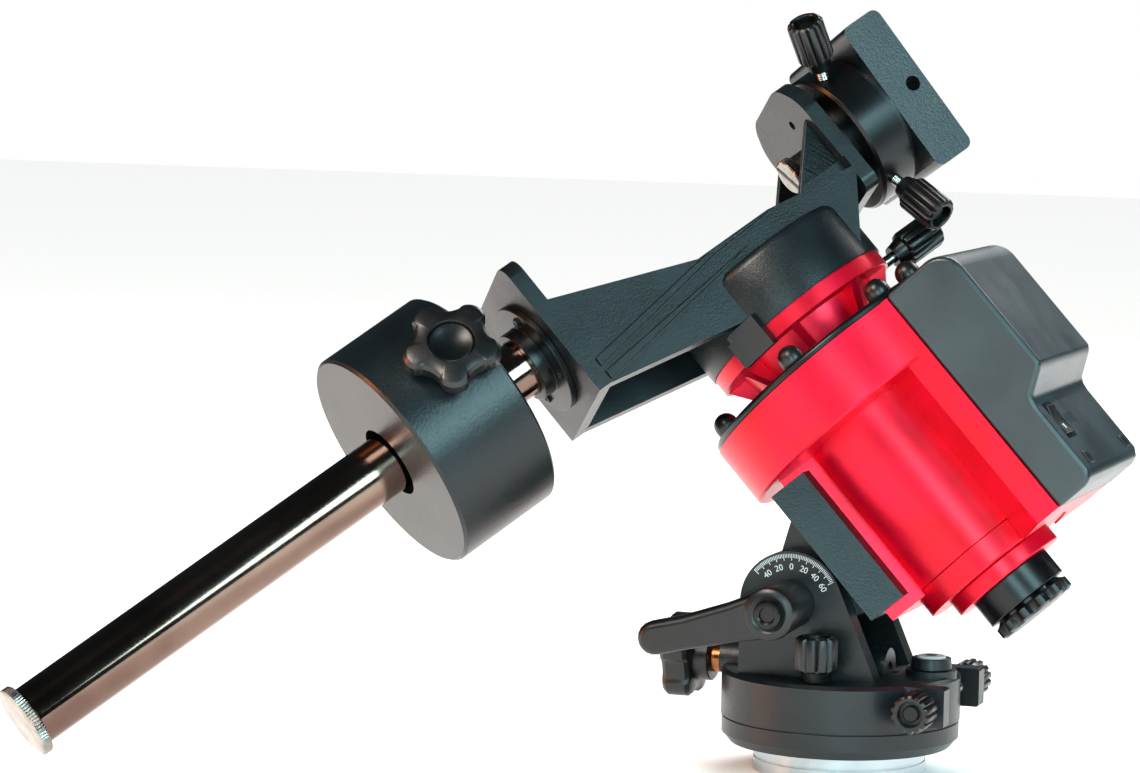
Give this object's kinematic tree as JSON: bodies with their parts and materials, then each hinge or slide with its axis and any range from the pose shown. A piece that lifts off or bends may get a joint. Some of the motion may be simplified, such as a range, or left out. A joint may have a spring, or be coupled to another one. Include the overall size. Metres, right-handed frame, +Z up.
{
  "type": "equatorial mount",
  "caption": "Portable motor-driven equatorial mount: tilting polar head on an altitude-azimuth base, declination arm, counterweight on a shaft, clamp for an instrument.",
  "frame": {"origin": "mouth of the tripod thread, at the centre of the base's underside", "axes": "+Z up along the azimuth axis, X in the meridian with the pole towards -X, Y along the altitude axis"},
  "size_m": [0.3157, 0.2717, 0.2567],
  "materials": {
    "black_casting": "die cast, fine textured black powder coat",
    "red_anodised": "machined, bead blasted and red anodised",
    "bare_aluminium": "turned, clear anodised",
    "black_anodised": "turned, black anodised satin",
    "black_steel": "turned steel, fine satin black coat",
    "polished_steel": "ground and polished stainless steel",
    "screw_steel": "turned steel, bright plated",
    "moulded_black": "moulded glass-filled nylon, semi-gloss",
    "cover_abs": "moulded ABS, fine satin texture",
    "brass": "turned brass",
    "lens_glass": "coated lens glass",
    "level_glass": "bubble level vial",
    "board": "green solder mask over glass-fibre laminate",
    "battery_wrap": "shrink-wrapped cells",
    "scale_print": "printed scale and numbers"
  },
  "bodies": {
    "base": {"tripod_adapter": "bare_aluminium", "azimuth_ring": "black_casting", "azimuth_post": "screw_steel", "azimuth_pivot_bolt": "screw_steel"},
    "azimuth_head": {"altazimuth_housing": "black_casting", "bubble_level_cup": "black_casting", "bubble_level_glass": "level_glass", "altitude_scale": "scale_print", "altitude_adjuster_bush": "brass", "altitude_pivot_bolt": "screw_steel"},
    "azimuth_lock": {"azimuth_lock_knob": "moulded_black"},
    "azimuth_adjuster_near": {"azimuth_adjust_knob_near": "moulded_black"},
    "azimuth_adjuster_far": {"azimuth_adjust_knob_far": "moulded_black"},
    "altitude_adjuster": {"altitude_worm": "brass", "altitude_adjust_knob": "moulded_black"},
    "altitude_clamp": {"altitude_lever": "moulded_black", "altitude_lever_cap": "moulded_black"},
    "altitude_head": {"altitude_bracket": "black_casting", "dovetail_saddle": "black_casting", "ra_body": "red_anodised", "ra_lower_flange": "red_anodised", "ra_lock_ring": "red_anodised", "polar_scope_tube": "black_anodised", "polar_scope_lenses": "lens_glass", "ra_bearings": "screw_steel", "worm_bearings": "screw_steel", "drive_motor": "screw_steel", "circuit_board": "board", "battery": "battery_wrap", "electronics_cover": "cover_abs", "cable_sockets": "moulded_black"},
    "dovetail_clamp": {"dovetail_clamp_knob": "moulded_black"},
    "polar_focus": {"polar_scope_focus_ring": "moulded_black"},
    "drive_worm": {"worm": "screw_steel"},
    "motor_rotor": {"motor_pinion": "brass"},
    "switch_rocker": {"power_switch": "moulded_black"},
    "polar_axis": {"ra_shaft": "screw_steel", "worm_wheel": "brass", "clutch_disc": "black_anodised", "clutch_knobs": "moulded_black", "ra_saddle": "red_anodised", "dec_arm": "black_casting", "shaft_flange": "black_anodised", "flange_screws": "black_steel", "counterweight_shaft": "polished_steel", "dec_housing": "black_anodised", "dec_centre_screw": "screw_steel"},
    "saddle_lock": {"ra_saddle_stud": "screw_steel", "ra_saddle_knob": "moulded_black"},
    "dec_lock_upper": {"dec_lock_knob_upper": "moulded_black"},
    "dec_lock_lower": {"dec_lock_knob_lower": "moulded_black"},
    "dec_axis": {"instrument_saddle": "black_casting"},
    "clamp_jaw": {"saddle_jaw": "black_casting", "saddle_jaw_screws": "screw_steel"},
    "weight": {"counterweight": "black_steel"},
    "weight_lock": {"counterweight_stud": "screw_steel", "counterweight_knob": "moulded_black", "counterweight_knob_cap": "moulded_black"},
    "end_cap": {"shaft_end_cap": "screw_steel"}
  },
  "joints": [
    {"name": "azimuth_turn", "type": "hinge", "parent": "base", "child": "azimuth_head", "pos_m": [0, 0, 0], "axis": [0, 0, 1], "range_deg": [-6, 6]},
    {"name": "azimuth_lock_turn", "type": "hinge", "parent": "azimuth_head", "child": "azimuth_lock", "pos_m": [0.001, -0.0332, 0.03], "axis": [0, 0, 1], "range_deg": [-180, 180]},
    {"name": "azimuth_adjust_near_turn", "type": "hinge", "parent": "azimuth_head", "child": "azimuth_adjuster_near", "pos_m": [0.0354, -0.03, 0.028], "axis": [0, -1, 0], "range_deg": [-360, 360]},
    {"name": "azimuth_adjust_far_turn", "type": "hinge", "parent": "azimuth_head", "child": "azimuth_adjuster_far", "pos_m": [0.0354, 0.03, 0.028], "axis": [0, 1, 0], "range_deg": [-360, 360]},
    {"name": "altitude_tilt", "type": "hinge", "parent": "azimuth_head", "child": "altitude_head", "pos_m": [-0.0107, 0, 0.059], "axis": [0, 1, 0], "range_deg": [-37, 12]},
    {"name": "altitude_adjust_turn", "type": "hinge", "parent": "azimuth_head", "child": "altitude_adjuster", "pos_m": [-0.03, 0, 0.0352], "axis": [1, 0, 0], "range_deg": [-720, 2220]},
    {"name": "altitude_lever_turn", "type": "hinge", "parent": "azimuth_head", "child": "altitude_clamp", "pos_m": [-0.0107, -0.04, 0.059], "axis": [0, 1, 0], "range_deg": [-60, 12]},
    {"name": "dovetail_clamp_turn", "type": "hinge", "parent": "altitude_head", "child": "dovetail_clamp", "pos_m": [0.0064, 0.04, 0.07988], "axis": [0, 1, 0], "range_deg": [-180, 180]},
    {"name": "polar_focus_turn", "type": "hinge", "parent": "altitude_head", "child": "polar_focus", "pos_m": [0.06598, 0, 0.05973], "axis": [-0.673, 0, 0.7396], "range_deg": [-120, 120]},
    {"name": "ra_turn", "type": "hinge", "parent": "altitude_head", "child": "polar_axis", "pos_m": [0.0155, 0, 0.1152], "axis": [-0.673, 0, 0.7396], "continuous": true},
    {"name": "worm_turn", "type": "hinge", "parent": "altitude_head", "child": "drive_worm", "pos_m": [0.03388, 0, 0.15153], "axis": [0, 1, 0], "continuous": true},
    {"name": "motor_turn", "type": "hinge", "parent": "altitude_head", "child": "motor_rotor", "pos_m": [0.04734, 0, 0.14826], "axis": [0, 1, 0], "continuous": true},
    {"name": "power_switch_rock", "type": "hinge", "parent": "altitude_head", "child": "switch_rocker", "pos_m": [0.07644, -0.0235, 0.12401], "axis": [0, 1, 0], "range_deg": [-10, 0]},
    {"name": "ra_saddle_lock_turn", "type": "hinge", "parent": "polar_axis", "child": "saddle_lock", "pos_m": [0.01249, 0.03099, 0.17681], "axis": [0.5804, 0.6198, 0.5282], "range_deg": [-180, 180]},
    {"name": "dec_turn", "type": "hinge", "parent": "polar_axis", "child": "dec_axis", "pos_m": [-0.01065, 0.03719, 0.2139], "axis": [0.5804, 0.6198, 0.5282], "continuous": true},
    {"name": "dec_lock_upper_turn", "type": "hinge", "parent": "polar_axis", "child": "dec_lock_upper", "pos_m": [-0.01921, 0.01232, 0.24435], "axis": [-0.1517, -0.5549, 0.8179], "range_deg": [-180, 180]},
    {"name": "dec_lock_lower_turn", "type": "hinge", "parent": "polar_axis", "child": "dec_lock_lower", "pos_m": [0.01891, 0.02175, 0.19139], "axis": [0.8013, -0.3192, -0.506], "range_deg": [-180, 180]},
    {"name": "saddle_jaw_slide", "type": "slide", "parent": "dec_axis", "child": "clamp_jaw", "axis": [-0.5611, 0.7745, -0.2921], "range_m": [0, 0.004]},
    {"name": "counterweight_slide", "type": "slide", "parent": "polar_axis", "child": "weight", "axis": [0.5804, 0.6198, 0.5282], "range_m": [-0.14, 0.015]},
    {"name": "counterweight_knob_turn", "type": "hinge", "parent": "weight", "child": "weight_lock", "pos_m": [-0.1007, -0.10678, 0.14668], "axis": [0.282, -0.7615, 0.5837], "range_deg": [-180, 180]},
    {"name": "end_cap_turn", "type": "hinge", "parent": "polar_axis", "child": "end_cap", "pos_m": [-0.21264, -0.1785, 0.0301], "axis": [0.5804, 0.6198, 0.5282], "range_deg": [-360, 360]}
  ],
  "couplings": [
    {"joint": "altitude_adjust_turn", "follows": "altitude_tilt", "ratio": -60},
    {"joint": "worm_turn", "follows": "ra_turn", "ratio": 90},
    {"joint": "motor_turn", "follows": "ra_turn", "ratio": -180}
  ]
}
